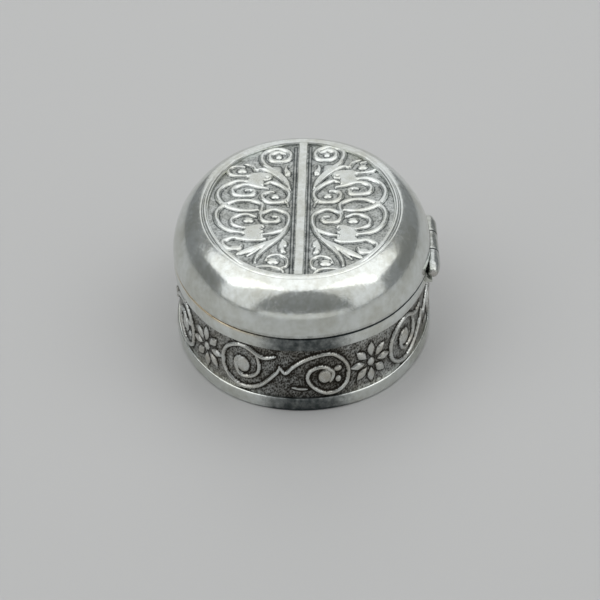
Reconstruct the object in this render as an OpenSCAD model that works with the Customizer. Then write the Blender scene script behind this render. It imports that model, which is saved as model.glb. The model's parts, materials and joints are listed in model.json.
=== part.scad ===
// Oval silver pill box: a drum-shaped base and a domed lid joined by a three-knuckle hinge.
// The base stands on Z = 0 with +Z up. X runs along the hinge, and the lid opens from the -Y side.

/* [Plan] */
// Half of the box's width, across the hinge
half_w = 15; // [13:0.1:18]
// Half of the box's length, along the hinge
half_l = 17.7; // [16:0.1:21]

/* [Base] */
// Height of the base, up to the seam
base_h = 10.1; // [9.5:0.1:12]
// Height of the plain foot moulding
foot_h = 1.65; // [1.2:0.05:2]
// Height of the plain moulding at the mouth
top_rim_h = 1.5; // [1.2:0.05:1.8]
// Depth from the mouldings' face down to the ground of the frieze
frieze_depth = 0.4; // [0.2:0.05:0.5]
// Thickness of the two mouldings, from the outside in
moulding_t = 0.9; // [0.8:0.05:1]
// Thickness of the bottom plate
plate_t = 0.6; // [0.4:0.05:1]
// Thickness of the gilt cup's wall and floor
cup_t = 0.5; // [0.4:0.05:0.7]
// Thickness of the bezel that the lid closes over
bezel_t = 0.35; // [0.3:0.05:0.5]
// Height that the bezel stands above the seam
bezel_rise = 1.2; // [0.8:0.1:1.5]
// Depth that the bezel reaches down inside the cup
bezel_drop = 2.5; // [1.5:0.1:4]

/* [Lid] */
// Height of the lid, from its lower edge to its flat top
lid_h = 5.9; // [5.5:0.05:7]
// Gap at the seam between base and lid
seam_gap = 0.12; // [0.1:0.01:0.2]
// Height of the moulding round the lid's lower edge
lid_rim_h = 0.45; // [0.4:0.05:0.6]
// Thickness of the lid's moulding, from the outside in
lid_rim_t = 1.15; // [1.1:0.05:1.2]
// Thickness of the lid's outer shell
shell_t = 0.6; // [0.5:0.05:0.7]
// Thickness of the gilt lining under it
lining_t = 0.35; // [0.3:0.05:0.4]
// Distance from the outline to the medallion, which is the width of the rounded shoulder
shoulder_w = 4.25; // [3.5:0.05:5]
// Depth of the medallion's recess
recess_d = 0.55; // [0.4:0.05:0.6]
// Thickness of the two scrollwork panels that lie in it
panel_t = 0.35; // [0.15:0.05:0.5]
// Width of the plain band between the panels
band_w = 1; // [0.8:0.1:2]
// Turn of the band and the panels out of line with the hinge, in degrees
band_turn = -2; // [-3:0.5:3]
// Radius of the raised bead outside each panel
bead_r = 0.25; // [0.2:0.01:0.3]
// Where each bead ends, as an angle from the long axis
bead_from = 40; // [30:1:50]

/* [Hinge] */
// Outer radius of the knuckles
knuckle_r = 0.9; // [0.8:0.05:1]
// Length of one knuckle
knuckle_l = 3.7; // [3:0.1:4]
// Radius of the base's knuckles at their filed outer ends
knuckle_end_r = 0.55; // [0.5:0.05:0.7]
// Length over which they are filed thinner
taper_l = 2; // [1:0.1:2.5]
// Gap between neighbouring knuckles
knuckle_gap = 0.1; // [0.08:0.01:0.15]
// Radius of the hinge pin
pin_r = 0.35; // [0.3:0.01:0.4]
// Radius of the pin's peened heads
head_r = 0.45; // [0.4:0.01:0.5]
// Height of each peened head
head_h = 0.12; // [0.08:0.01:0.2]

/* [Hidden] */

$fn = 96;

// The plan is an oval of four tangent arcs, built on 3-4-5 triangles: the centre of an end arc,
// the centre of a side arc and the middle of the box stand 3, 4 and 5 units apart.
unit = (half_l - half_w)/2;
end_c = 3*unit;
side_c = 4*unit;
end_r = half_l - end_c;
side_r = half_w + side_c;
end_angle = 53.1301;

// Levels
seam_z = base_h;
lid_z = seam_z + seam_gap;
shoulder_z = lid_z + lid_rim_h;
top_z = lid_z + lid_h;
recess_z = top_z - recess_d;
ceiling_z = recess_z - shell_t;
bezel_top = seam_z + bezel_rise;
cup_floor = plate_t + cup_t;

// Faces, as distances in from the outline
cup_in = moulding_t + cup_t;
bezel_in = cup_in + bezel_t;
lining_in = shell_t + lining_t;

// Hinge
axis_y = half_w;
axis_z = seam_z;
turning_gap = 0.1;
fit_gap = 0.01;
bore_gap = 0.05;
tooth_x = knuckle_l/2 + knuckle_gap/2;
outer_x = tooth_x + knuckle_l;
bearer_in = 0.1;
bearer_h = 1.2;
bead_wall = 0.1;

edge_r = 0.18;
beyond = 1;

// Part of an end arc, swept from a profile that has x = 0 on the outline and y up
module end_sweep(from, to) {
    translate([end_c, 0, 0])
        rotate_extrude(angle = to - from, start = from)
            translate([end_r, 0]) children();
}

// One quarter of the oval, from an angle on the end arc to the middle of the side
module quarter_sweep(from = 0) {
    end_sweep(from, end_angle) children();
    translate([0, -side_c, 0])
        rotate_extrude(angle = 90 - end_angle, start = end_angle)
            translate([side_r, 0]) children();
}

// The profile swept all the way round the oval
module oval_sweep() {
    for (i = [0, 1])
        for (j = [0, 1])
            mirror([i, 0, 0]) mirror([0, j, 0]) quarter_sweep() children();
}

// A flat oval plate, its edge the given distance in from the outline
module oval_plate(inset, z, h) {
    for (i = [0, 1])
        for (j = [0, 1])
            mirror([i, 0, 0]) mirror([0, j, 0]) {
                translate([end_c, 0, z])
                    rotate_extrude(angle = end_angle, start = 0) square([end_r - inset, h]);
                translate([0, -side_c, z])
                    rotate_extrude(angle = 90 - end_angle, start = end_angle)
                        square([side_r - inset, h]);
            }
}

// Section of a moulding with rounded outer edges
module moulding(t, z0, z1, r = edge_r) {
    polygon(concat(
        [[-t, z0]],
        [for (a = [-90:30:0]) [-r + r*cos(a), z0 + r + r*sin(a)]],
        [for (a = [0:30:90]) [-r + r*cos(a), z1 - r + r*sin(a)]],
        [[-t, z1]]
    ));
}

// Points of a quarter ellipse, from its upright start to its level end
function shoulder(inset, z0, z1) = [
    for (a = [0:9:90])
        [-inset - (shoulder_w - inset)*(1 - cos(a)), z0 + (z1 - z0)*sin(a)]
];
function reversed(list) = [for (i = [len(list) - 1:-1:0]) list[i]];

// A round bar on the hinge axis between two X positions
module on_axis(x0, x1, r) {
    translate([x0, axis_y, axis_z])
        rotate([0, 90, 0]) cylinder(r = r, h = x1 - x0, $fn = 48);
}

// Room for the lid's knuckle, and seats for the base's own knuckles
module base_hinge_room() {
    on_axis(-tooth_x, tooth_x, knuckle_r + turning_gap);
    on_axis(tooth_x - knuckle_gap/2, outer_x + fit_gap, knuckle_r + fit_gap);
    on_axis(-outer_x - fit_gap, -tooth_x + knuckle_gap/2, knuckle_r + fit_gap);
}

// Room for the base's knuckles and the pin's heads, and a seat for the lid's own knuckle
module lid_hinge_room() {
    on_axis(tooth_x - knuckle_gap, outer_x + head_h + turning_gap, knuckle_r + turning_gap);
    on_axis(-outer_x - head_h - turning_gap, -tooth_x + knuckle_gap, knuckle_r + turning_gap);
    on_axis(-tooth_x, tooth_x, knuckle_r + fit_gap);
}

// The body of a base knuckle, thinned towards its outer end
module base_barrel(side) {
    translate([0, axis_y, axis_z])
        rotate([0, side*90, 0])
            rotate_extrude($fn = 48)
                polygon(concat(
                    [[0, tooth_x], [knuckle_r, tooth_x]],
                    [for (t = [0:0.2:1])
                        [knuckle_r - (knuckle_r - knuckle_end_r)*t*t, outer_x - taper_l*(1 - t)]],
                    [[0, outer_x]]
                ));
}

module base_knuckle(side) {
    difference() {
        base_barrel(side);
        on_axis(-outer_x - beyond, outer_x + beyond, pin_r + fit_gap);
    }
}

// The half of the medallion beyond the band, on the side of +Y
module half_medallion() {
    intersection() {
        oval_plate(shoulder_w + fit_gap, recess_z, panel_t);
        rotate([0, 0, band_turn])
            translate([-half_l, band_w/2 + fit_gap, recess_z - beyond])
                cube([2*half_l, half_w, panel_t + 2*beyond]);
    }
}

// Section of the bead, or of its seat, on the rounded shoulder
module bead_section(r) {
    translate([-shoulder_w + bead_wall + bead_r, top_z - bead_r/2]) circle(r = r, $fn = 24);
}

// A round wire lying along the shoulder on the side of +Y
module bead() {
    for (i = [0, 1])
        mirror([i, 0, 0]) quarter_sweep(bead_from) bead_section(bead_r);
}

module dome_section() {
    polygon(concat(
        shoulder(0, shoulder_z, top_z),
        reversed(shoulder(shell_t, shoulder_z, ceiling_z))
    ));
}

module base_plate() {
    color("silver") oval_plate(moulding_t, 0, plate_t);
}

module foot_rim() {
    color("silver") oval_sweep() moulding(moulding_t, 0, foot_h);
}

module frieze_band() {
    color("dimgray")
        oval_sweep()
            translate([-moulding_t, foot_h])
                square([moulding_t - frieze_depth, base_h - top_rim_h - foot_h]);
}

module top_rim() {
    color("silver")
        difference() {
            oval_sweep() moulding(moulding_t, base_h - top_rim_h, base_h);
            base_hinge_room();
        }
}

module inner_cup() {
    color("goldenrod")
        difference() {
            union() {
                oval_plate(moulding_t, plate_t, cup_t);
                oval_sweep()
                    translate([-cup_in, plate_t]) square([cup_t, base_h - plate_t]);
            }
            base_hinge_room();
        }
}

module bezel_ring() {
    color("gold")
        oval_sweep()
            translate([-cup_in, 0])
                moulding(bezel_t, seam_z - bezel_drop, bezel_top, bezel_t/3);
}

// Wedges that carry the straight barrel where the wall curves away from it
module base_bearers() {
    color("silver")
        difference() {
            for (side = [-1, 1])
                translate([side*(tooth_x + outer_x)/2, axis_y - knuckle_r, axis_z - bearer_h])
                    translate([-knuckle_l/2, 0, 0])
                        cube([knuckle_l, knuckle_r - bearer_in, bearer_h]);
            oval_plate(-fit_gap, axis_z - bearer_h - beyond, bearer_h + 2*beyond);
            on_axis(-outer_x - beyond, outer_x + beyond, knuckle_r + fit_gap);
        }
}

module base_knuckle_left() {
    color("silver") base_knuckle(-1);
}

module base_knuckle_right() {
    color("silver") base_knuckle(1);
}

module hinge_pin() {
    color("lightsteelblue") {
        on_axis(-outer_x - fit_gap, outer_x + fit_gap, pin_r);
        for (side = [-1, 1])
            translate([side*(outer_x + fit_gap), axis_y, axis_z])
                rotate([0, side*90, 0]) cylinder(r1 = head_r, r2 = head_r/2, h = head_h, $fn = 48);
    }
}

module lid_rim() {
    color("silver")
        difference() {
            oval_sweep() moulding(lid_rim_t, lid_z, shoulder_z);
            lid_hinge_room();
        }
}

module lid_dome() {
    color("lightgray")
        difference() {
            union() {
                for (i = [0, 1])
                    for (j = [0, 1])
                        mirror([i, 0, 0]) mirror([0, j, 0]) {
                            end_sweep(0, bead_from) dome_section();
                            quarter_sweep(bead_from)
                                difference() {
                                    dome_section();
                                    bead_section(bead_r + fit_gap);
                                }
                        }
                oval_plate(shoulder_w, ceiling_z, shell_t);
            }
            lid_hinge_room();
        }
}

module lid_lining() {
    color("gold")
        difference() {
            union() {
                oval_sweep()
                    polygon(concat(
                        shoulder(shell_t, shoulder_z, ceiling_z),
                        reversed(shoulder(lining_in, shoulder_z, ceiling_z - lining_t))
                    ));
                oval_plate(shoulder_w, ceiling_z - lining_t, lining_t);
            }
            lid_hinge_room();
        }
}

module panel_back() {
    color("gray") half_medallion();
}

module panel_front() {
    color("gray") rotate([0, 0, 180]) half_medallion();
}

module centre_band() {
    color("whitesmoke")
        intersection() {
            oval_plate(shoulder_w, recess_z, recess_d);
            rotate([0, 0, band_turn])
                translate([-half_l, -band_w/2, recess_z - beyond])
                    cube([2*half_l, band_w, recess_d + 2*beyond]);
        }
}

module bead_back() {
    color("silver") bead();
}

module bead_front() {
    color("silver") mirror([0, 1, 0]) bead();
}

module lid_knuckle() {
    color("silver")
        difference() {
            on_axis(-knuckle_l/2 + knuckle_gap/2, knuckle_l/2 - knuckle_gap/2, knuckle_r);
            on_axis(-tooth_x - beyond, tooth_x + beyond, pin_r + bore_gap);
        }
}

base_plate();
foot_rim();
frieze_band();
top_rim();
inner_cup();
bezel_ring();
base_bearers();
base_knuckle_left();
base_knuckle_right();
hinge_pin();
lid_rim();
lid_dome();
lid_lining();
panel_front();
panel_back();
centre_band();
bead_front();
bead_back();
lid_knuckle();
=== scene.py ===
"""The looks of an oval silver pill box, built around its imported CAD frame.

Lengths in the mesh code are millimetres in the frame's own axes: X along the hinge, Y across it, Z up.
"""

import json
import math

import bmesh
import bpy
import numpy as np
from mathutils import Matrix, Vector


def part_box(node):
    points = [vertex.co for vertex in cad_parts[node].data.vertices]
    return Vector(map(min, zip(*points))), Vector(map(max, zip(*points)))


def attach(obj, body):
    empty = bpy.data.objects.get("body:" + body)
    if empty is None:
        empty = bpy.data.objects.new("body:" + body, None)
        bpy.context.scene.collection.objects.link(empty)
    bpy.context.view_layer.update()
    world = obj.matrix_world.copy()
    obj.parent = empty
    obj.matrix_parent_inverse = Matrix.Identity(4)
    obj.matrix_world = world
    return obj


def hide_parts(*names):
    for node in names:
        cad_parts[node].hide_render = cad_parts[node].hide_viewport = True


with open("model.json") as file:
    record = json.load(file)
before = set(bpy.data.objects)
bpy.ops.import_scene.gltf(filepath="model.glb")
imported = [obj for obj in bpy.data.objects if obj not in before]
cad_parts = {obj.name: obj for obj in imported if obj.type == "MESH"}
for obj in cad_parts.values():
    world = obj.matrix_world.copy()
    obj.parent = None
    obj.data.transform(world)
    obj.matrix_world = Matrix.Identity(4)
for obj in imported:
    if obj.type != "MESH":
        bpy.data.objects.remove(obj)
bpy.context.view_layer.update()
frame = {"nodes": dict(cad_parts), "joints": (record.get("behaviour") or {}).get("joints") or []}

MM = 0.001
X, Y, Z = 0, 1, 2


def span(node, axis):
    """Lowest and highest place of a CAD node along an axis, in millimetres."""
    low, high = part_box(node)
    return low[axis] / MM, high[axis] / MM


# ---------------------------------------------------------------- sizes, from the frame
HALF_L = span("foot_rim", X)[1]
HALF_W = span("foot_rim", Y)[1]
FOOT_TOP = span("foot_rim", Z)[1]
RIM_LOW, SEAM = span("top_rim", Z)
PLATE_TOP = span("base_plate", Z)[1]
CUP_TOP = span("inner_cup", Z)[1]
BEZEL_LOW, BEZEL_TOP = span("bezel_ring", Z)
LID_LOW, LID_RIM_TOP = span("lid_rim", Z)
LID_TOP = span("lid_dome", Z)[1]
RECESS = span("panel_front", Z)[0]
LINING_TOP = span("lid_lining", Z)[1]
BEAD_TOP = span("bead_front", Z)[1]
BEAD_OUT = span("bead_back", Y)[1]
MOULDING_IN = HALF_L - span("base_plate", X)[1]
BAND_END = span("centre_band", X)[1]
BEZEL_OUT = HALF_L - span("bezel_ring", X)[1]
SHELL_IN = HALF_L - span("lid_lining", X)[1]
FRIEZE_IN = HALF_L - span("frieze_band", X)[1]
HINGE = [place / MM for place in frame["joints"][0]["pos_m"]]
KNUCKLE_R = span("lid_knuckle", Y)[1] - HINGE[1]
TOOTH_X = span("lid_knuckle", X)[1]
BARREL_IN, BARREL_OUT = span("base_knuckle_right", X)
PIN_LOW, PIN_HIGH = span("hinge_pin", Z)
PIN_END = span("hinge_pin", X)[1]
HEAD_R = (PIN_HIGH - PIN_LOW) / 2

# The oval is four tangent arcs on 3-4-5 triangles, as in the CAD.
UNIT = (HALF_L - HALF_W) / 2
END_C = 3 * UNIT
SIDE_C = 4 * UNIT
END_R = HALF_L - END_C
SIDE_R = HALF_W + SIDE_C
END_ANGLE = math.atan2(4, 3)
END_ARC = END_R * END_ANGLE
QUARTER = END_ARC + SIDE_R * (math.pi / 2 - END_ANGLE)
AROUND = 4 * QUARTER

# The CAD's own thicknesses and widths, which a node's box doesn't give.
CUP_WALL = 0.5
BEZEL_WALL = 0.35
LINING_WALL = 0.35
LID_RIM_DEPTH = 1.15
SHOULDER = 4.25
BAND_TURN = math.radians(-2.0)
BAND_HALF = 0.5
BEAD_R = 0.25
PIN_R = 0.35
LID_BORE = 0.4
KNUCKLE_TAPER = 2.0
KNUCKLE_END_R = 0.55

# Gaps round the hinge: between parts that turn on each other, and between parts that are soldered.
TURNING = 0.1
SEATING = 0.01

# How far the painted seam shadow and the gilding reach up and down from the seam.
SEAM_SHADOW_REACH = 0.13
GILDING_REACH = 0.16


# ---------------------------------------------------------------- the oval
def on_oval(s):
    """Points on the outline and their outward normals, at arc lengths s from +X towards +Y."""
    s = np.asarray(s, float)
    wrapped = (s + AROUND / 2) % AROUND - AROUND / 2
    from_near = np.abs(wrapped)
    sign_x = np.where(from_near <= QUARTER, 1.0, -1.0)
    t = np.where(from_near <= QUARTER, from_near, AROUND / 2 - from_near)
    end = t < END_ARC
    angle = np.where(end, t / END_R, END_ANGLE + (t - END_ARC) / SIDE_R)
    x = np.where(end, END_C + END_R * np.cos(angle), SIDE_R * np.cos(angle))
    y = np.where(end, END_R * np.sin(angle), -SIDE_C + SIDE_R * np.sin(angle))
    flip = np.stack([sign_x, np.where(wrapped < 0, -1.0, 1.0)], -1)
    normal = np.stack([np.cos(angle), np.sin(angle)], -1)
    return np.stack([x, y], -1) * flip, normal * flip


def inset_of(x, y):
    """Distance of points in from the outline."""
    ax, ay = np.abs(x), np.abs(y)
    end = (ax > END_C) & (np.arctan2(ay, ax - END_C) < END_ANGLE)
    return np.where(end, END_R - np.hypot(ax - END_C, ay), SIDE_R - np.hypot(ax, ay + SIDE_C))


# ---------------------------------------------------------------- mesh helpers
def make(name, points, faces, material, body, node, smooth=40.0, weld=True):
    """A closed mesh from points in millimetres, which rides on a body and stands for a CAD node."""
    mesh = bpy.data.meshes.new(name)
    mesh.from_pydata((np.asarray(points, float) * MM).tolist(), [], [list(map(int, f)) for f in faces])
    work = bmesh.new()
    work.from_mesh(mesh)
    if weld:
        bmesh.ops.remove_doubles(work, verts=work.verts, dist=1e-7)
    bmesh.ops.recalc_face_normals(work, faces=work.faces)
    work.to_mesh(mesh)
    work.free()
    piece = bpy.data.objects.new(name, mesh)
    bpy.context.scene.collection.objects.link(piece)
    return finish(piece, material, body, node, smooth)


def finish(piece, material, body, node, smooth=40.0):
    """Shading, material and place in the frame."""
    mesh = piece.data
    mesh.shade_smooth()
    mesh.set_sharp_from_angle(angle=math.radians(smooth))
    mesh.materials.clear()
    mesh.materials.append(MATERIALS[material])
    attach(piece, body)
    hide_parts(node)
    return piece


def grid_faces(rows, columns, close_rows=False, close_columns=False):
    """Quads between neighbouring points of a grid whose points are numbered row by row."""
    r = np.arange(rows if close_rows else rows - 1)
    c = np.arange(columns if close_columns else columns - 1)
    r, c = (a.ravel() for a in np.meshgrid(r, c, indexing="ij"))
    r2, c2 = (r + 1) % rows, (c + 1) % columns
    return np.stack([r * columns + c, r * columns + c2, r2 * columns + c2, r2 * columns + c], -1)


def sweep_points(inset, z, stations, scale=1.0):
    """Points of a section carried round the oval: rows are stations, columns are the section's points."""
    base, normal = on_oval(stations)
    inset, z, scale = np.broadcast_arrays(inset, z, scale)
    if inset.ndim == 1:
        inset, z, scale = (np.tile(a, (len(base), 1)) for a in (inset, z, scale))
    flat = (base[:, None, :] - normal[:, None, :] * inset[..., None]) * scale[..., None]
    return np.concatenate([flat, z[..., None]], -1)


def ring(name, inset, z, material, body, node, step=0.25, scale=1.0, smooth=40.0, stations=None):
    """A closed section swept all the way round the oval."""
    if stations is None:
        stations = np.linspace(0, AROUND, int(AROUND / step), endpoint=False)
    points = sweep_points(np.asarray(inset, float), np.asarray(z, float), stations, scale)
    faces = grid_faces(*points.shape[:2], close_rows=True, close_columns=True)
    return make(name, points.reshape(-1, 3), faces, material, body, node, smooth)


def set_lay(piece):
    """Stores coordinates that run round the oval and down its wall, for polishing lines."""
    count = len(piece.data.vertices)
    place = np.empty(3 * count)
    piece.data.vertices.foreach_get("co", place)
    x, y, z = place.reshape(-1, 3).T / MM
    turn = np.arctan2(y, x)
    down = z - inset_of(x, y)
    lay = np.stack([HALF_L * np.cos(turn), HALF_L * np.sin(turn), down], -1)
    layer = piece.data.attributes.new("lay", "FLOAT_VECTOR", "POINT")
    layer.data.foreach_set("vector", lay.astype(np.float32).ravel())


def set_value(piece, name, value):
    """Stores a number at each point of a piece, from a function of the point's place in millimetres."""
    count = len(piece.data.vertices)
    place = np.empty(3 * count)
    piece.data.vertices.foreach_get("co", place)
    layer = piece.data.attributes.new(name, "FLOAT", "POINT")
    layer.data.foreach_set("value", value(*(place.reshape(-1, 3).T / MM)).astype(np.float32))


def arc(centre, radius, start, end, count):
    """Points on an arc of a section, with angles in degrees from the outward direction."""
    a = np.radians(np.linspace(start, end, count))
    return [(centre[0] - radius * c, centre[1] + radius * s) for c, s in zip(np.cos(a), np.sin(a))]


def moulding(z0, z1, depth, edge, crown=0.0):
    """Section of a moulding with rounded outer edges and a slightly crowned face."""
    face = [(crown * (2 * t - 1) ** 2, z0 + edge + (z1 - z0 - 2 * edge) * t) for t in np.linspace(0, 1, 7)]
    low = arc((edge + crown, z0 + edge), edge, -90, 0, 7)
    high = arc((edge + crown, z1 - edge), edge, 0, 90, 7)
    ledge = edge + crown + 0.1
    return np.array([(depth, z0), (ledge, z0), *low[:-1], *face, *high[1:], (ledge, z1), (depth, z1)])


def cut(piece, *cutters):
    """Cuts solids away from a piece, and removes them."""
    for cutter in cutters:
        modifier = piece.modifiers.new("cut", "BOOLEAN")
        modifier.operation = "DIFFERENCE"
        modifier.solver = "EXACT"
        modifier.object = cutter
    view = bpy.context.evaluated_depsgraph_get()
    mesh = bpy.data.meshes.new_from_object(piece.evaluated_get(view))
    piece.modifiers.clear()
    piece.data = mesh
    work = bmesh.new()
    work.from_mesh(mesh)
    bmesh.ops.dissolve_degenerate(work, edges=work.edges, dist=1e-7)
    work.to_mesh(mesh)
    work.free()
    for cutter in cutters:
        bpy.data.objects.remove(cutter)
    mesh.shade_smooth()
    mesh.set_sharp_from_angle(angle=math.radians(40))
    return piece


def bar(x0, x1, radius):
    """A round cutter on the hinge axis."""
    work = bmesh.new()
    bmesh.ops.create_cone(
        work, cap_ends=True, segments=64, radius1=radius * MM, radius2=radius * MM, depth=(x1 - x0) * MM
    )
    place = Matrix.Translation(Vector(((x0 + x1) / 2, HINGE[1], HINGE[2])) * MM)
    bmesh.ops.transform(work, matrix=place @ Matrix.Rotation(math.pi / 2, 4, "Y"), verts=work.verts)
    mesh = bpy.data.meshes.new("cutter")
    work.to_mesh(mesh)
    work.free()
    cutter = bpy.data.objects.new("cutter", mesh)
    bpy.context.scene.collection.objects.link(cutter)
    return cutter


def base_hinge_room():
    """Cutters that leave room in the base for the lid's knuckle, and seats for its own two."""
    return (
        bar(-TOOTH_X - TURNING / 2, TOOTH_X + TURNING / 2, KNUCKLE_R + TURNING),
        bar(BARREL_IN - TURNING / 2, BARREL_OUT + SEATING, KNUCKLE_R + SEATING),
        bar(-BARREL_OUT - SEATING, -BARREL_IN + TURNING / 2, KNUCKLE_R + SEATING),
    )


def lid_hinge_room():
    """Cutters that leave room in the lid for the base's knuckles and the pin, and a seat for its own."""
    return (
        bar(BARREL_IN - TURNING, PIN_END + TURNING, KNUCKLE_R + TURNING),
        bar(-PIN_END - TURNING, -BARREL_IN + TURNING, KNUCKLE_R + TURNING),
        bar(-TOOTH_X - TURNING / 2, TOOTH_X + TURNING / 2, KNUCKLE_R + SEATING),
    )


# ---------------------------------------------------------------- relief
LINE_STEP = 0.06
FAR = 9.0


def through(p):
    """A smooth line (Catmull-Rom) through all points but the first and the last, which only steer it."""
    line = []
    for a, b, c, d in zip(p, p[1:], p[2:], p[3:]):
        count = max(3, int(np.linalg.norm(c - b) / LINE_STEP))
        t = np.linspace(0, 1, count, endpoint=False)[:, None]
        line.append(
            (2 * b + (c - a) * t + (2 * a - 5 * b + 4 * c - d) * t**2 + (3 * b - a - 3 * c + d) * t**3) / 2
        )
    return np.vstack([*line, p[-2:-1]])


def curve(*points):
    """A smooth open line through the given points."""
    p = np.array(points, float)
    return through(np.vstack([2 * p[0] - p[1], p, 2 * p[-1] - p[-2]]))


def closed(*points):
    """A smooth closed line through the given points."""
    p = np.array(points, float)
    return through(np.vstack([p[-1:], p, p[:2]]))


class Relief:
    """Height (0 to 1) and nearness to an edge, worked out at a set of points of a flat pattern."""

    def __init__(self, u, v, fatten=1.0):
        self.u, self.v = u, v
        self.fatten = fatten
        self.height = np.zeros(len(u))
        self.gap = np.full(len(u), FAR)

    def near(self, line, reach):
        """Indices of the points in the box round a line."""
        low, high = line.min(0) - reach, line.max(0) + reach
        inside = (self.u > low[0]) & (self.u < high[0]) & (self.v > low[1]) & (self.v < high[1])
        return np.nonzero(inside)[0]

    def raise_to(self, at, height, gap):
        """Adds a form, with a small fillet where it meets the ones already there."""
        high = np.maximum(self.height[at], height)
        low = np.minimum(self.height[at], height)
        self.height[at] = np.minimum(np.maximum(high, 1.0), high + 0.3 * low**2 / (high + 1e-9))
        self.gap[at] = np.minimum(self.gap[at], gap)

    def dent(self, centre, radius, depth):
        """Sinks a small round mark into what is there."""
        away = np.hypot(self.u - centre[0], self.v - centre[1]) / radius
        self.height *= 1 - depth * np.exp(-(away**2))

    def stroke(self, line, width=0.65, height=1.0, start=0.6, end=0.6, flat=1.0):
        """A ridge along a line, narrowed to a share of its width at each end, with soft feet."""
        width = width * self.fatten
        along = np.r_[0, np.cumsum(np.linalg.norm(np.diff(line, axis=0), axis=1))]
        s = np.linspace(0, along[-1], max(3, int(along[-1] / LINE_STEP)))
        points = np.stack([np.interp(s, along, line[:, i]) for i in (0, 1)], 1)
        taper = 1.2
        half = width / 2 * (start + (1 - start) * np.clip(s / taper, 0, 1))
        half = half * (end + (1 - end) * np.clip((s[-1] - s) / taper, 0, 1))
        at = self.near(line, width / 2 + 0.6)
        best = np.full(len(at), FAR)
        wide = np.full(len(at), width / 2)
        batch = 48
        for first in range(0, len(s), batch):
            some, reach = points[first : first + batch], half[first : first + batch]
            away = np.hypot(self.u[at][:, None] - some[:, 0], self.v[at][:, None] - some[:, 1])
            beyond = away - reach
            k = beyond.argmin(1)
            closest = beyond[np.arange(len(at)), k]
            wide = np.where(closest < best, reach[k], wide)
            best = np.minimum(best, closest)
        t = np.clip(1 + best / wide, 0, 1)
        tall = height * np.clip(wide / (width / 2), 0, 1) ** 0.5
        self.raise_to(at, tall * (1 - t ** (2 * flat)) ** 0.6, best)

    def boss(self, centre, long, short=None, height=1.0, turn=0.0, flat=1.0, point=1.0):
        """A domed oval, or a pointed one with point under 1."""
        short = short or long
        c, s = math.cos(math.radians(turn)), math.sin(math.radians(turn))
        at = self.near(np.array([centre]), max(long, short) + 0.6)
        du, dv = self.u[at] - centre[0], self.v[at] - centre[1]
        a, b = np.abs(du * c + dv * s) / long, np.abs(-du * s + dv * c) / short
        r = np.hypot(a, b) if point == 1 else a**1.5 + b
        tall = (1 - np.clip(r, 0, 1) ** (2 * flat)) ** 0.6
        self.raise_to(at, height * tall, (r - 1) * min(long, short))

    def plate(self, outline, height=0.6, edge=0.22):
        """A flat raised field with a rounded edge."""
        outline = np.vstack([outline, outline[:1]])
        at = self.near(outline, 0.7)
        u, v = self.u[at], self.v[at]
        inside = np.zeros(len(at), bool)
        best = np.full(len(at), FAR)
        for (u0, v0), (u1, v1) in zip(outline, outline[1:]):
            crossing = (v0 > v) != (v1 > v)
            inside ^= crossing & (u < u0 + (v - v0) * (u1 - u0) / (v1 - v0 + 1e-12))
            du, dv = u1 - u0, v1 - v0
            t = np.clip(((u - u0) * du + (v - v0) * dv) / (du * du + dv * dv + 1e-12), 0, 1)
            best = np.minimum(best, np.hypot(u - u0 - t * du, v - v0 - t * dv))
        t = np.clip(best / edge, 0, 1)
        tall = np.where(inside, height * np.sqrt(1 - (1 - t) ** 2), 0)
        self.raise_to(at, tall, np.where(inside, -best, best))


def lumps(u, v, size, seed):
    """Smooth hand-worked unevenness, from -1 to 1, with bumps of about the given size."""
    rng = np.random.default_rng(seed)
    total = np.zeros(np.shape(u))
    for _ in range(9):
        a = rng.uniform(0, 2 * math.pi)
        k = rng.uniform(0.6, 1.4) * math.pi / size
        total = total + np.sin(k * (u * math.cos(a) + v * math.sin(a)) + rng.uniform(0, 2 * math.pi))
    return total / 5


def punched(u, v, pitch, seed):
    """A ground struck with a small round punch: 0 on the plain, 1 in the middle of a mark."""
    cell_u, cell_v = np.floor(u / pitch), np.floor(v / pitch)
    deep = np.zeros(np.shape(u))
    for i in (-1, 0, 1):
        for j in (-1, 0, 1):
            a, b = cell_u + i, cell_v + j
            r1 = np.modf(np.abs(np.sin(a * 12.9898 + b * 78.233 + seed)) * 43758.5453)[0]
            r2 = np.modf(np.abs(np.sin(a * 39.3468 + b * 11.135 + seed)) * 24634.6345)[0]
            away = np.hypot(u - (a + r1) * pitch, v - (b + r2) * pitch)
            deep = np.maximum(deep, np.clip(1 - away / (0.55 * pitch), 0, 1) * (0.5 + 0.5 * r1))
    return deep


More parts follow.
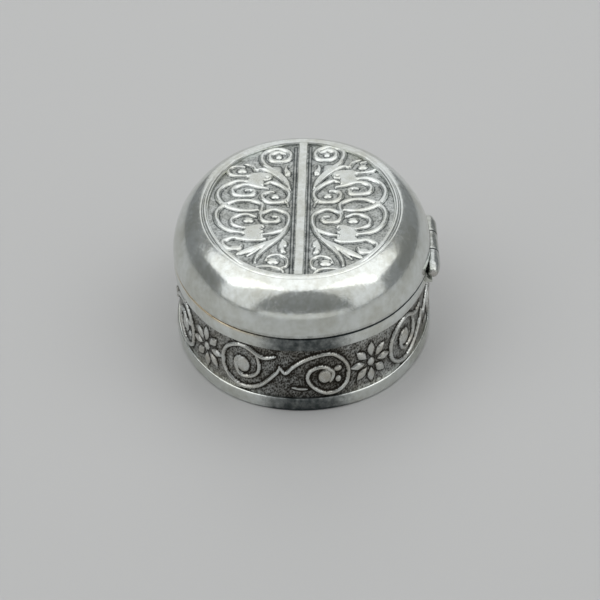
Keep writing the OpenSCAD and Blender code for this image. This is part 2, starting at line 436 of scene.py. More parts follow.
def scrollwork(r):
    """The medallion's pattern: u is the distance out from the band, v the place along it, near end +."""
    r.stroke(curve((0.87, -12.9), (0.87, 0), (0.87, 12.9)), 0.3, 0.16, 1, 1)
    # far volute on its long stem, with a bud beside it
    stem = [(1.4, -3.8), (1.6, -4.8), (2.05, -6.0), (2.75, -7.2), (3.6, -8.2), (4.4, -9.2), (4.8, -10.2)]
    r.stroke(
        curve(*stem, (4.85, -10.9), (4.75, -11.5), (4.2, -12.3), (3.2, -12.65), (2.2, -12.4), (1.6, -11.7),
              (1.45, -10.9), (1.8, -10.2), (2.5, -9.9), (3.3, -10.0), (3.85, -10.5), (3.9, -11.2),
              (3.5, -11.75), (2.8, -11.9), (2.2, -11.6)), 0.7)
    r.boss((2.85, -10.95), 0.42, height=0.85)
    r.plate(
        closed((2.5, -8.7), (3.2, -9.0), (3.9, -8.7), (3.4, -7.8), (2.7, -6.9), (2.25, -6.2), (2.4, -7.2)),
        0.25, 0.5)
    r.plate(
        closed((1.9, -9.0), (2.15, -8.4), (2.25, -7.6), (2.05, -6.9), (1.6, -6.7), (1.3, -7.1), (1.35, -7.6),
               (1.7, -8.1), (1.75, -8.7)), 0.75)
    r.boss((1.62, -7.3), 0.3, height=1.0)
    # upper leaf
    r.stroke(curve((6.9, -9.65), (6.3, -9.4), (5.8, -8.9), (5.55, -8.2)), 0.55, 1, 0.3, 1)
    r.stroke(
        curve((5.6, -8.1), (5.1, -8.35), (4.5, -8.3), (3.9, -7.85), (3.3, -7.2), (2.7, -6.45), (2.2, -5.7),
              (1.8, -4.9), (1.45, -4.1)), 0.6)
    r.plate(
        closed((3.5, -6.9), (4.2, -7.5), (5.2, -7.6), (6.0, -7.5), (6.7, -7.0), (6.3, -6.3), (6.8, -5.8),
               (6.3, -5.1), (5.4, -4.8), (4.6, -4.7), (4.35, -5.2), (4.4, -5.8), (3.7, -6.1)), 0.82)
    r.dent((4.1, -6.35), 0.24, 0.7)
    # small outer volute
    r.stroke(curve((6.2, -6.9), (7.1, -6.9), (8.0, -7.1), (8.6, -7.6), (8.75, -8.3), (8.35, -8.95),
                   (7.7, -9.1), (6.9, -9.0)), 0.55)
    r.boss((7.1, -8.1), 0.6, 0.48)
    # the two outer loops, which cross and leave a lens between them
    r.stroke(
        curve((6.4, -5.75), (7.6, -5.85), (8.5, -5.45), (9.2, -4.7), (9.65, -3.7), (9.75, -2.7), (9.5, -1.7),
              (8.9, -0.75), (8.1, -0.05), (7.1, 0.45), (6.1, 0.6), (5.0, 0.4)), 0.68)
    r.stroke(
        curve((4.75, 1.1), (4.5, 0.2), (4.5, -0.5), (4.9, -1.1), (5.7, -1.55), (6.7, -1.65), (7.7, -1.5),
              (8.6, -1.0), (9.3, -0.2), (9.7, 0.8), (9.75, 1.8), (9.55, 2.8), (9.05, 3.8), (8.35, 4.5),
              (7.5, 4.95), (6.5, 5.2)), 0.66)
    # middle outer volute
    r.stroke(
        curve((4.0, -4.15), (4.7, -4.4), (5.4, -4.75), (6.2, -5.0), (7.1, -4.95), (7.8, -4.5), (8.1, -3.75),
              (7.85, -3.05), (7.2, -2.7), (6.4, -2.6), (5.75, -2.85), (5.5, -3.4), (5.85, -3.85),
              (6.5, -3.8)),
        0.68)
    # middle inner volute
    r.stroke(
        curve((4.2, -5.2), (3.7, -5.45), (3.0, -5.15), (2.3, -4.5), (1.75, -3.7), (1.45, -2.9), (1.5, -2.1),
              (1.85, -1.45), (2.6, -1.1), (3.4, -1.05), (4.1, -1.45), (4.55, -2.1), (4.5, -2.8), (4.0, -3.3),
              (3.3, -3.4)), 0.66)
    r.stroke(curve((1.95, -1.35), (1.6, -0.9), (1.5, -0.3)), 0.45, 0.95, 1, 0.5)
    r.boss((3.05, -2.4), 0.55, 0.5)
    # lower inner volute on its long stem
    stem = [(4.95, 11.1), (4.85, 10.3), (4.45, 9.2), (3.75, 8.0), (2.95, 6.9), (2.25, 5.8), (1.75, 4.7),
            (1.45, 3.5)]
    spiral = [(1.35, 2.7), (1.4, 1.8), (1.8, 1.0), (2.5, 0.5), (3.3, 0.4), (4.0, 0.7), (4.5, 1.3),
              (4.6, 2.0), (4.3, 2.6), (3.6, 2.95), (2.9, 2.85), (2.5, 2.4), (2.65, 1.9), (3.2, 1.75)]
    r.stroke(curve(*stem, *spiral), 0.62)
    # lower outer ring
    r.stroke(curve((5.2, 1.8), (6.0, 1.4), (6.9, 1.45), (7.6, 1.9), (7.95, 2.6), (7.85, 3.3), (7.3, 3.8),
                   (6.5, 4.15)), 0.6)
    r.boss((6.0, 2.5), 0.66, 0.55)
    # lower leaf, with a finger that curls at its end
    r.stroke(curve((1.6, 3.9), (2.2, 4.55), (3.0, 5.05), (3.8, 5.4), (4.5, 5.5)), 0.6)
    r.plate(
        closed((4.2, 3.5), (4.9, 3.4), (5.8, 3.75), (6.6, 4.0), (6.35, 4.55), (6.8, 5.1), (6.4, 5.7),
               (6.7, 6.3), (5.7, 6.6), (4.7, 6.5), (4.1, 6.0), (4.5, 5.4), (4.1, 4.8), (4.5, 4.4),
               (4.1, 4.0)), 0.82)
    r.dent((4.2, 4.0), 0.26, 0.7)
    r.stroke(
        curve((4.0, 6.3), (4.7, 6.6), (5.6, 6.65), (6.6, 6.45), (7.4, 6.25), (8.15, 6.45), (8.7, 7.0),
              (8.7, 7.75), (8.1, 8.4), (7.35, 8.6), (6.75, 8.3), (6.6, 7.7)), 0.68)
    r.boss((7.3, 8.2), 0.75, 0.42, 0.85, 15)
    r.stroke(curve((2.6, 6.2), (3.4, 7.05), (4.3, 7.65), (5.2, 8.25), (6.1, 8.85), (6.9, 9.4)), 0.95, 0.9)
    r.stroke(curve((4.6, 8.3), (5.3, 9.1), (5.9, 9.8)), 0.4, 0.7)
    # near bud
    r.plate(
        closed((2.0, 6.3), (1.4, 7.0), (1.4, 7.6), (1.75, 8.1), (1.45, 8.9), (1.95, 9.1), (2.4, 8.4),
               (2.4, 7.5), (2.15, 6.8)), 0.8)
    r.boss((1.9, 8.4), 0.45, 0.3, 1.0, 80)
    # near volute
    r.stroke(curve((3.75, 10.6), (3.5, 9.95), (2.8, 9.6), (2.0, 9.65), (1.45, 10.2), (1.3, 11.0), (1.5, 11.7),
                   (2.0, 12.0)), 0.5)
    r.boss((2.95, 10.7), 0.72, 0.6)
    r.stroke(curve((1.75, 12.7), (2.1, 12.2), (2.9, 11.9), (3.8, 11.85), (4.7, 11.95)), 0.55)


def flower(r, s, z):
    """Eight pointed petals round a bead."""
    r.boss((s, z), 0.48, 0.55, 0.95)
    for k in range(8):
        a = math.radians(45 * k)
        r.boss((s + 1.85 * math.cos(a), z + 1.8 * math.sin(a)), 1.0, 0.54, 0.95, 45 * k, point=0.5)


def moved(s, z, *points):
    """A smooth line through points given from a centre."""
    return curve(*((s + u, z + v) for u, v in points))


def left_volute(r, s, z):
    """A ribbon that comes in from a free tail, goes all the way round and rises to the link."""
    r.stroke(
        moved(s, z, (4.59, 2.05), (3.59, 1.7), (2.79, 1.75), (2.09, 2.1), (1.29, 2.55), (0.39, 2.7),
              (-0.61, 2.4), (-1.51, 1.8), (-2.11, 1.0), (-2.36, 0.0), (-2.31, -1.0), (-1.91, -1.9),
              (-1.11, -2.6), (-0.11, -3.0), (0.79, -3.05), (1.79, -2.8), (2.79, -2.25), (3.69, -1.4),
              (4.49, -0.5), (4.89, 0.0), (5.14, 0.7)), 0.47, flat=2.0)
    r.stroke(
        moved(s, z, (2.29, 1.7), (2.54, 1.1), (2.64, 0.3), (2.49, -0.5), (1.99, -1.1), (1.19, -1.5),
              (0.39, -1.55), (-0.11, -1.25), (-0.41, -0.6), (-0.51, 0.1), (-0.31, 0.7), (0.19, 1.05)),
        0.42, flat=2.0)
    r.boss((s + 0.49, z), 0.9, 1.1, 0.9, flat=1.6)


def right_volute(r, s, z):
    """A ribbon that leaves the link, goes over the top and winds in to a disc with two beads."""
    r.stroke(
        moved(s, z, (-5.72, 1.15), (-5.37, 0.55), (-5.07, 0.35), (-4.77, 0.55), (-4.27, 1.15), (-3.57, 1.75),
              (-2.77, 2.25), (-1.77, 2.65), (-0.57, 2.9), (0.43, 2.8), (1.23, 2.25), (1.93, 1.45),
              (2.33, 0.55), (2.38, -0.35), (2.13, -1.45), (1.43, -2.25), (0.53, -2.6), (-0.47, -2.55),
              (-1.37, -2.05), (-2.07, -1.35), (-2.47, -0.55), (-2.42, 0.15), (-2.07, 0.75), (-1.37, 1.1),
              (-0.57, 1.1), (0.13, 0.65), (0.53, 0.15), (0.43, -0.55), (0.13, -1.05)), 0.45, flat=2.0)
    r.boss((s - 0.47, z - 0.25), 0.8, 0.95, 0.9, flat=1.6)
    r.boss((s + 1.1, z + 0.65), 0.5, 0.42, 0.75)
    r.boss((s + 1.13, z - 0.85), 0.36, 0.48, 0.8)
    r.stroke(moved(s, z, (-4.3, -1.65), (-3.4, -1.85), (-2.6, -1.85)), 0.45, 0.75)


FRIEZE_STEP = AROUND / 19
FLOWER_AT = 8.2
FRIEZE_JOINT = FLOWER_AT + 3.5 * FRIEZE_STEP


def frieze_pattern(r):
    """A flower and two linked volutes in turn round the wall: u is the arc length, v the height."""
    makers = {0: (flower, 4.85), 1: (left_volute, 5.2), 3: (right_volute, 4.75)}
    for i in range(-15, 4):
        maker, level = makers.get(i % 4, (None, 0))
        if maker:
            maker(r, FLOWER_AT + FRIEZE_STEP * i, level)


# ---------------------------------------------------------------- materials
def feed(tree, socket, value):
    """Gives an input a value, or links another socket to it."""
    if isinstance(value, bpy.types.NodeSocket):
        tree.links.new(value, socket)
    else:
        socket.default_value = value


def add(tree, kind, settings=None, **inputs):
    """One shader node. Inputs go by name, with _ for a space, or by number, as in i0."""
    node = tree.nodes.new(kind)
    for key, value in (settings or {}).items():
        setattr(node, key, value)
    for key, value in inputs.items():
        numbered = key[0] == "i" and key[1:].isdigit()
        feed(tree, node.inputs[int(key[1:]) if numbered else key.replace("_", " ")], value)
    return node


def math_node(tree, operation, a, b, clamp=False):
    """Arithmetic on two values or sockets."""
    return add(tree, "ShaderNodeMath", {"operation": operation, "use_clamp": clamp}, i0=a, i1=b).outputs[0]


def plus(tree, a, b):
    """The sum of two values or sockets."""
    return math_node(tree, "ADD", a, b)


def times(tree, a, b):
    """The product of two values or sockets."""
    return math_node(tree, "MULTIPLY", a, b)


def ramp(tree, value, low, high, to_low=0.0, to_high=1.0):
    """A value eased from one range into another."""
    return add(
        tree, "ShaderNodeMapRange", {"interpolation_type": "SMOOTHSTEP"},
        Value=value, From_Min=low, From_Max=high, To_Min=to_low, To_Max=to_high,
    ).outputs[0]


def noise(tree, where, per_mm, detail, rough):
    """Clouds of so many per millimetre, on coordinates in metres."""
    return add(
        tree, "ShaderNodeTexNoise", None, Vector=where, Scale=per_mm / MM, Detail=detail, Roughness=rough
    ).outputs[0]


def stored(tree, name):
    """A number or place that a mesh carries at its points."""
    return add(tree, "ShaderNodeAttribute", {"attribute_name": name})


def stretched(tree, where, turn, squeeze):
    """Coordinates turned and squeezed, so that a noise on them becomes fine parallel scratches."""
    node = add(tree, "ShaderNodeMapping", None, Vector=where)
    node.inputs["Rotation"].default_value = [math.radians(a) for a in turn]
    node.inputs["Scale"].default_value = squeeze
    return node.outputs[0]


def mix(tree, share, a, b):
    """A colour between two, each a triple or a socket."""
    node = add(tree, "ShaderNodeMix", {"data_type": "RGBA"}, i0=share)
    for socket, value in ((node.inputs[6], a), (node.inputs[7], b)):
        feed(tree, socket, (*value, 1.0) if isinstance(value, tuple) else value)
    return node.outputs[2]


def scratches(tree, where):
    """Fine scratches in three directions."""
    sets = (((20, 35, 15), (1, 22, 1)), ((-40, 10, 70), (22, 1, 1)), ((5, -50, 120), (1, 1, 26)))
    total = 0.0
    for turn, squeeze in sets:
        fine = noise(tree, stretched(tree, where, turn, squeeze), 1.6, 2.0, 0.7)
        total = math_node(tree, "MAXIMUM", total, ramp(tree, fine, 0.62, 0.72))
    return total


def polishing(tree, blotch):
    """Polishing lines that run round the oval, in patches. Their coordinates are in millimetres."""
    along = stretched(tree, stored(tree, "lay").outputs["Vector"], (0, 0, 0), (0.3, 0.3, 5.0))
    lines = add(tree, "ShaderNodeTexNoise", None, Vector=along, Scale=1.0, Detail=3.0, Roughness=0.7)
    return times(tree, lines.outputs[0], ramp(tree, blotch, 0.4, 0.65))


# The dark oxide colour, also used to paint shade where a piece stores it.
OXIDE_AND_SHADE = (0.04, 0.05, 0.053)
SEAM_GOLD = (0.8, 0.58, 0.27)


def metal(name, bright, dull, rough, oxide_and_shade=OXIDE_AND_SHADE):
    """Worn polished metal: clouds of tarnish, scratches, pits, and oxide, painted shade and gilding where a
    piece says.
    """
    material = bpy.data.materials.new(name)
    material.use_nodes = True
    tree = material.node_tree
    tree.nodes.clear()
    where = add(tree, "ShaderNodeTexCoord").outputs["Object"]
    clouds = noise(tree, where, 0.22, 4.0, 0.6)
    blotch = noise(tree, where, 1.3, 3.0, 0.6)
    tarnish = ramp(tree, plus(tree, clouds, times(tree, blotch, 0.5)), 0.55, 1.0)
    colour = mix(tree, tarnish, bright, dull)

    scratch = scratches(tree, where)
    polish = polishing(tree, blotch)
    pits = ramp(tree, noise(tree, where, 9.0, 2.0, 0.6), 0.66, 0.74)

    smear = ramp(tree, noise(tree, where, 0.5, 4.0, 0.65), 0.3, 0.75, rough, rough * 2.1)
    roughness = plus(tree, smear, times(tree, scratch, 0.10))
    relief = plus(tree, times(tree, scratch, -0.2), times(tree, pits, -0.5))
    relief = plus(tree, relief, times(tree, polish, 0.9))
    relief = plus(tree, relief, times(tree, clouds, 2.0))

    uneven = math_node(tree, "SUBTRACT", times(tree, blotch, 0.5), 0.25)
    # How dark a point is, as stored: oxide in the hollows, and painted shade and shadow on some pieces.
    stain_and_shade = ramp(tree, plus(tree, stored(tree, "oxide_and_painted_shade").outputs["Fac"], uneven), 0.15, 0.95)
    colour = mix(tree, stored(tree, "gilding").outputs["Fac"], colour, SEAM_GOLD)
    colour = mix(tree, stain_and_shade, colour, oxide_and_shade)
    roughness = math_node(tree, "ADD", roughness, times(tree, stain_and_shade, 0.3), clamp=True)
    speckle = times(tree, noise(tree, where, 6.0, 3.0, 0.7), stain_and_shade)
    relief = plus(tree, relief, times(tree, speckle, 3.0))

    bump = add(tree, "ShaderNodeBump", None, Strength=0.35, Distance=0.02 * MM, Height=relief)
    shader = add(
        tree, "ShaderNodeBsdfPrincipled", None,
        Base_Color=colour, Roughness=roughness, Metallic=1.0, Normal=bump.outputs[0],
    )
    add(tree, "ShaderNodeOutputMaterial", None, Surface=shader.outputs[0])
    material.diffuse_color = (*bright, 1.0)
    return material


SILVER = (0.77, 0.80, 0.78)
TARNISH = (0.59, 0.60, 0.545)
WALL_SILVER = (0.7, 0.72, 0.7)
WALL_TARNISH = (0.5, 0.48, 0.42)
# The wall's oxide colour, also used for its painted shade.
WALL_OXIDE_AND_SHADE = (0.03, 0.026, 0.02)
GOLD = (0.86, 0.66, 0.36)
GOLD_WORN = (0.74, 0.60, 0.42)
WIRE = (0.70, 0.70, 0.69)
WIRE_DULL = (0.5, 0.48, 0.44)

MATERIALS = {
    "polished": metal("polished_silver", SILVER, TARNISH, 0.1),
    "relief": metal("struck_silver", SILVER, TARNISH, 0.16),
    "frieze": metal("struck_wall_silver", WALL_SILVER, WALL_TARNISH, 0.17, oxide_and_shade=WALL_OXIDE_AND_SHADE),
    "gilt": metal("gilding", GOLD, GOLD_WORN, 0.2),
    "pin": metal("hinge_wire", WIRE, WIRE_DULL, 0.24),
}


def set_patina_and_shade(piece, values):
    """Stores how deep and dark each point of a piece is, for its material: oxide in its hollows, and on the
    frieze also painted shade at the near end.
    """
    layer = piece.data.attributes.new("oxide_and_painted_shade", "FLOAT", "POINT")
    layer.data.foreach_set("value", np.asarray(values, np.float32))


def patina_of(relief, marks, plain, foot, reach):
    """Darkest at the foot of each ridge and in the punch marks, bright where the tops are worn."""
    ground = plain + (foot - plain) * np.exp(-np.clip(relief.gap, 0, None) / reach) + 0.3 * marks
    top = foot * (1 - np.clip(relief.height, 0, 1)) ** 3
    return np.where(relief.gap > 0, ground, top)


def around(x, y):
    """Arc length round the oval, near enough, from +X towards +Y."""
    return AROUND / (2 * math.pi) * np.arctan2(y, x)


def tarnish_patches_and_painted_shade(x, y):
    """Broad patches of tarnish round the wall, the deepest one at the near end being painted shade: where
    each lies, half its width, and how deep it is.
    """
    total = 0
    # The patch at 0 is painted shade at the near end; the others are tarnish.
    for at, wide, depth in ((0, 5.2, 0.78), (38, 7, 0.4), (-31, 6, 0.35), (50, 5, 0.45), (17, 4, 0.25)):
        away = (around(x, y) - at + AROUND / 2) % AROUND - AROUND / 2
        total = total + depth * np.exp(-((away / wide) ** 4))
    return total


def painted_shade_low_on_lid(x, y, z):
    """Painted shade low on the lid's wall, deepest at the near end."""
    low = np.clip(1.1 - (z - LID_LOW) / 1.5, 0, 1)
    return low * (0.3 + 0.16 * np.exp(-((around(x, y) / 9) ** 2)))


def painted_seam_shadow(x, y, z, level):
    """Painted shadow in the seam. On the opening side it gives way to gilding that has crept out."""
    close = np.clip(1.3 - np.abs(z - level) / SEAM_SHADOW_REACH, 0, 1)
    outside = np.clip(2.2 - inset_of(x, y) / 0.12, 0, 1)
    return close * outside * np.clip(0.75 + 0.06 * (y + 4), 0, 1)


def seam_gilding(y, z, level):
    """Gilding that shows thinly along the seam, on the opening side only."""
    close = np.clip(1.4 - np.abs(z - level) / GILDING_REACH, 0, 1)
    return 0.55 * close * np.clip(-(y + 3) / 5, 0, 1)


# ---------------------------------------------------------------- base
def build_base_plate():
    """The bottom plate, with its edges just broken."""
    edge, rim = 0.08, MOULDING_IN
    section = [
        (rim + 3, 0, 1), (rim + edge, 0, 1), (rim, edge, 1), (rim, PLATE_TOP - edge, 1),
        (rim + edge, PLATE_TOP, 1), (rim + 3, PLATE_TOP, 1), (rim + 3, PLATE_TOP, 0), (rim + 3, 0, 0),
    ]
    inset, z, scale = np.array(section).T
    ring("bottom_plate", inset, z, "polished", "base", "base_plate", step=0.5, scale=scale)


def build_foot():
    """The plain moulding at the foot, darker along its bottom edge."""
    section = moulding(0.0, FOOT_TOP, MOULDING_IN, 0.2, 0.06)
    piece = ring("foot_moulding", section[:, 0], section[:, 1], "polished", "base", "foot_rim")
    set_lay(piece)
    # Tarnish patches with painted shade at the near end, and darker along the bottom 0.25 mm.
    set_value(piece, "oxide_and_painted_shade", lambda x, y, z: tarnish_patches_and_painted_shade(x, y) + 0.6 * np.clip(1 - z / 0.25, 0, 1))


def build_top_rim():
    """The mouth moulding. Its lower edge was filed by hand and wanders a little."""
    section = moulding(RIM_LOW, SEAM, MOULDING_IN, 0.18, 0.04)
    stations = np.linspace(0, AROUND, int(AROUND / 0.2), endpoint=False)
    wave = 0.12 * np.sin(2 * math.pi * (stations - 6) / AROUND) + 0.05 * lumps(stations, 0 * stations, 4.0, 3)
    low = (SEAM - section[:, 1]) / (SEAM - RIM_LOW)
    z = section[None, :, 1] + (wave - 0.1)[:, None] * low[None, :] ** 2
    inset = np.tile(section[:, 0], (len(stations), 1))
    piece = ring("mouth_moulding", inset, z, "polished", "base", "top_rim", stations=stations)
    cut(piece, *base_hinge_room())
    set_lay(piece)
    # Tarnish patches with painted shade at the near end, and painted shadow along the seam.
    set_value(piece, "oxide_and_painted_shade", lambda x, y, z: np.maximum(tarnish_patches_and_painted_shade(x, y), painted_seam_shadow(x, y, z, SEAM)))
    set_value(piece, "gilding", lambda x, y, z: seam_gilding(y, z, SEAM))


def build_frieze():
    """The die-struck wall, with its relief, its punched ground and a slightly uneven sheet."""
    stations = np.linspace(0, AROUND, 1140, endpoint=False) + FRIEZE_JOINT - AROUND
    levels = np.linspace(FOOT_TOP - 0.05, RIM_LOW + 0.05, 70)
    s, z = np.meshgrid(stations, levels, indexing="ij")
    r = Relief(s.ravel(), z.ravel())
    frieze_pattern(r)
    marks = punched(s * 1.6, z, 0.3, 5.0).ravel()
    rise = 0.31 * r.height - np.where(r.gap > 0, 0.08 * marks, 0) + 0.02 * lumps(s, z, 2.5, 8).ravel()
    inset = (FRIEZE_IN + 0.04 - rise).reshape(s.shape)
    back = np.full((len(stations), 2), MOULDING_IN)
    back_z = np.tile([levels[-1], levels[0]], (len(stations), 1))
    inset, z = np.hstack([inset, back]), np.hstack([z, back_z])
    piece = ring("frieze", inset, z, "frieze", "base", "frieze_band", stations=stations, smooth=80)
    # Painted shade: the wall is darker at its near end, on top of the oxide in the hollows.
    painted_near_end_shade = 0.15 * np.exp(-((stations[:, None] / 6) ** 4))
    dark = patina_of(r, 2 * marks, 0.45, 1.1, 0.14).reshape(s.shape) + painted_near_end_shade
    set_patina_and_shade(piece, np.hstack([dark, np.ones((len(stations), 2))]).ravel())


def build_cup():
    """The gilt cup, raised from one sheet, with a soft corner between wall and floor."""
    inner = MOULDING_IN + CUP_WALL
    floor = PLATE_TOP + CUP_WALL
    corner = 0.9
    section = [
        (MOULDING_IN, PLATE_TOP, 0), (MOULDING_IN, PLATE_TOP, 1), (MOULDING_IN, CUP_TOP - 0.08, 1),
        (MOULDING_IN + 0.08, CUP_TOP, 1), (inner - 0.1, CUP_TOP, 1), (inner, CUP_TOP - 0.1, 1),
    ]
    section += [(i, z, 1) for i, z in arc((inner + corner, floor + corner), corner, 0, -90, 9)]
    section += [(inner + corner + 1, floor, k) for k in (1, 0.7, 0.4, 0)]
    inset, z, scale = np.array(section).T
    piece = ring("gilt_cup", inset, z, "gilt", "base", "inner_cup", step=0.3, scale=scale)
    cut(piece, *base_hinge_room())


def build_bezel():
    """The thin upright ring that the lid closes over, rounded on every edge."""
    edge = 0.1
    back = BEZEL_OUT + BEZEL_WALL
    outer = moulding(BEZEL_LOW, BEZEL_TOP, BEZEL_WALL, edge)[1:-1]
    inner = [
        (back - edge, BEZEL_TOP), (back, BEZEL_TOP - edge),
        (back, BEZEL_LOW + edge), (back - edge, BEZEL_LOW),
    ]
    section = np.vstack([outer + (BEZEL_OUT, 0), inner])
    ring("gilt_bezel", section[:, 0], section[:, 1], "gilt", "base", "bezel_ring", step=0.3)


# ---------------------------------------------------------------- lid
def shell_arc(start, top, first, last, count):
    """Points on a quarter ellipse from a wall, at inset start, up to the shoulder's inner edge."""
    angles = np.radians(np.linspace(first, last, count))
    inset = start + (SHOULDER - start) * (1 - np.cos(angles))
    z = LID_RIM_TOP + (top - LID_RIM_TOP) * np.sin(angles)
    return np.stack([inset, z, np.ones(count)], -1)


def build_lid_rim():
    """The moulding round the lid's lower edge. Its upper edge runs straight into the dome."""
    edge = 0.18
    section = moulding(LID_LOW, LID_RIM_TOP, LID_RIM_DEPTH, edge)
    section = section[section[:, 1] < LID_RIM_TOP - edge - 0.01]
    section = np.vstack([section, [(0.0, LID_RIM_TOP), (LID_RIM_DEPTH, LID_RIM_TOP)]])
    piece = ring("lid_moulding", section[:, 0], section[:, 1], "polished", "lid", "lid_rim", step=0.2)
    cut(piece, *lid_hinge_room())
    set_lay(piece)
    # Painted shade low on the wall and at the near end, and painted shadow along the seam.
    set_value(piece, "oxide_and_painted_shade", lambda x, y, z: np.maximum(painted_shade_low_on_lid(x, y, z), painted_seam_shadow(x, y, z, LID_LOW)))
    set_value(piece, "gilding", lambda x, y, z: seam_gilding(y, z, LID_LOW))


def build_dome():
    """The lid's shell: rounded shoulder, a scribed groove outside the bead, and the sunk medallion floor."""
    ceiling = RECESS - SHELL_IN
    groove_at = 3.46
    evenly = SHOULDER * (1 - np.cos(np.radians(np.linspace(0, 90, 44))))
    inset = np.unique(np.r_[evenly, np.linspace(3.3, 3.62, 9)])
    z = LID_RIM_TOP + (LID_TOP - LID_RIM_TOP) * np.sqrt(1 - (1 - inset / SHOULDER) ** 2)
    groove = 0.05 * np.exp(-(((inset - groove_at) / 0.07) ** 2))
    outer = np.stack([inset, z - groove, np.ones_like(z)], -1)[:-1]
    lip = [
        (SHOULDER - 0.06, LID_TOP - 0.01, 1), (SHOULDER, LID_TOP - 0.09, 1), (SHOULDER, RECESS, 1),
        (SHOULDER, RECESS, 0), (SHOULDER, ceiling, 0),
    ]
    section = np.vstack([outer, lip, shell_arc(SHELL_IN, ceiling, 90, 0, 16)])
    stations = np.linspace(0, AROUND, int(AROUND / 0.25), endpoint=False)
    wobble = 0.025 * lumps(stations[:, None] + 0 * section[None, :, 0], 2.0 * section[None, :, 0], 5.0, 11)
    fade = np.clip(section[:, 0] / 1.0, 0, 1) * np.clip((SHOULDER - section[:, 0]) / 1.2, 0, 1)
    deep, high, scale = (np.tile(column, (len(stations), 1)) for column in section.T)
    deep = deep + wobble * fade
    piece = ring("dome", deep, high, "polished", "lid", "lid_dome", scale=scale, stations=stations, smooth=50)
    cut(piece, *lid_hinge_room())
    set_lay(piece)


def build_lining():
    """The gilt sheet inside the lid."""
    under = LINING_TOP - LINING_WALL
    section = np.vstack([
        shell_arc(SHELL_IN, LINING_TOP, 0, 90, 14),
        [(SHOULDER, LINING_TOP, 0), (SHOULDER, under, 0)],
        shell_arc(SHELL_IN + LINING_WALL, under, 90, 0, 20),
    ])
    inset, z, scale = section.T
    piece = ring("gilt_lining", inset, z, "gilt", "lid", "lid_lining", step=0.3, scale=scale)
    cut(piece, *lid_hinge_room())


def from_band(v, u):
    """Frame coordinates of a place v along the band and u across it."""
    c, s = math.cos(BAND_TURN), math.sin(BAND_TURN)
    return v * c - u * s, v * s + u * c


def reach_of_panel(angle, side, start_u):
    """How far each ray from the middle of a panel's straight edge runs before it meets the dome's lip."""
    low, high = np.zeros(len(angle)), np.full(len(angle), 20.0)
    for _ in range(40):
        middle = (low + high) / 2
        x, y = from_band(middle * np.cos(angle), side * (start_u + middle * np.sin(angle)))
        inside = inset_of(x, y) > SHOULDER + 0.02
        low, high = np.where(inside, middle, low), np.where(inside, high, middle)
    return low


def build_panel(name, node, side):
    """A D-shaped plate of scrollwork. side is -1 for the opening side and +1 for the hinge side."""
    rays, steps = 520, 172
    angle = np.linspace(0, math.pi, rays + 1)
    start_u = BAND_HALF + 0.02
    share = np.linspace(0, 1, steps + 1)[1:]
    distance = reach_of_panel(angle, side, start_u)[:, None] * share[None, :]
    v = np.r_[0.0, (distance * np.cos(angle)[:, None]).ravel()]
    u = np.r_[start_u, (start_u + distance * np.sin(angle)[:, None]).ravel()]
    stretch = 1 + side * 0.006 * u
    r = Relief(u, v / stretch, 1.03)
    scrollwork(r)
    marks = punched(u, v, 0.27, 2.0 + side)
    ground = RECESS + 0.17
    z = ground + 0.27 * r.height - np.where(r.gap > 0, 0.045 * marks, 0) + 0.02 * lumps(u, v, 2.0, 5)
    x, y = from_band(v, side * u)
    top = np.stack([x, y, z], -1)

    # A fan from the middle of the straight edge, then quads outwards, a skirt and a flat underside.
    index = 1 + np.arange((rays + 1) * steps).reshape(rays + 1, steps)
    fan = [(0, index[i, 0], index[i + 1, 0]) for i in range(rays)]
    quads = np.stack([index[:-1, :-1], index[:-1, 1:], index[1:, 1:], index[1:, :-1]], -1).reshape(-1, 4)
    edge = [*index[0, :].tolist(), *index[1:, -1].tolist(), *index[-1, :-1][::-1].tolist(), 0]
    under = top[edge].copy()
    under[:, 2] = RECESS
    first, count = len(top), len(edge)
    after = [(i + 1) % count for i in range(count)]
    skirt = [(edge[i], edge[after[i]], first + after[i], first + i) for i in range(count)]
    bottom = [(first + count, first + after[i], first + i) for i in range(count)]
    hub = [*from_band(0.0, side * 4.0), RECESS]
    points = np.vstack([top, under, [hub]])
    piece = make(name, points, [*fan, *quads, *skirt, *bottom], "relief", "lid", node, smooth=80, weld=False)
    set_patina_and_shade(piece, np.r_[patina_of(r, marks, 0.46, 0.95, 0.07), np.ones(count + 1)])


def with_ends(rows, columns):
    """Faces of a tube of points, closed by a face at each end."""
    last = (rows - 1) * columns
    return [*grid_faces(rows, columns, close_columns=True), range(columns), range(last, last + columns)]


def build_band():
    """The plain strip between the panels, with its edges just broken and not quite straight."""
    half, edge, crown = BAND_HALF - 0.01, 0.05, 0.012
    section = [
        (-half, RECESS), (-half, LID_TOP - edge), (-half + edge, LID_TOP), (-half / 2, LID_TOP + crown),
        (half / 2, LID_TOP + crown), (half - edge, LID_TOP), (half, LID_TOP - edge), (half, RECESS),
    ]
    end = BAND_END - 0.02
    places = np.linspace(-end, end, 160)
    points = []
    for v in places:
        for u, z in section:
            wander = 0.02 * math.sin(0.9 * v) if z > RECESS else 0.0
            points.append((*from_band(v, u + wander), z))
    faces = with_ends(len(places), len(section))
    make("band", points, faces, "polished", "lid", "centre_band", smooth=30)


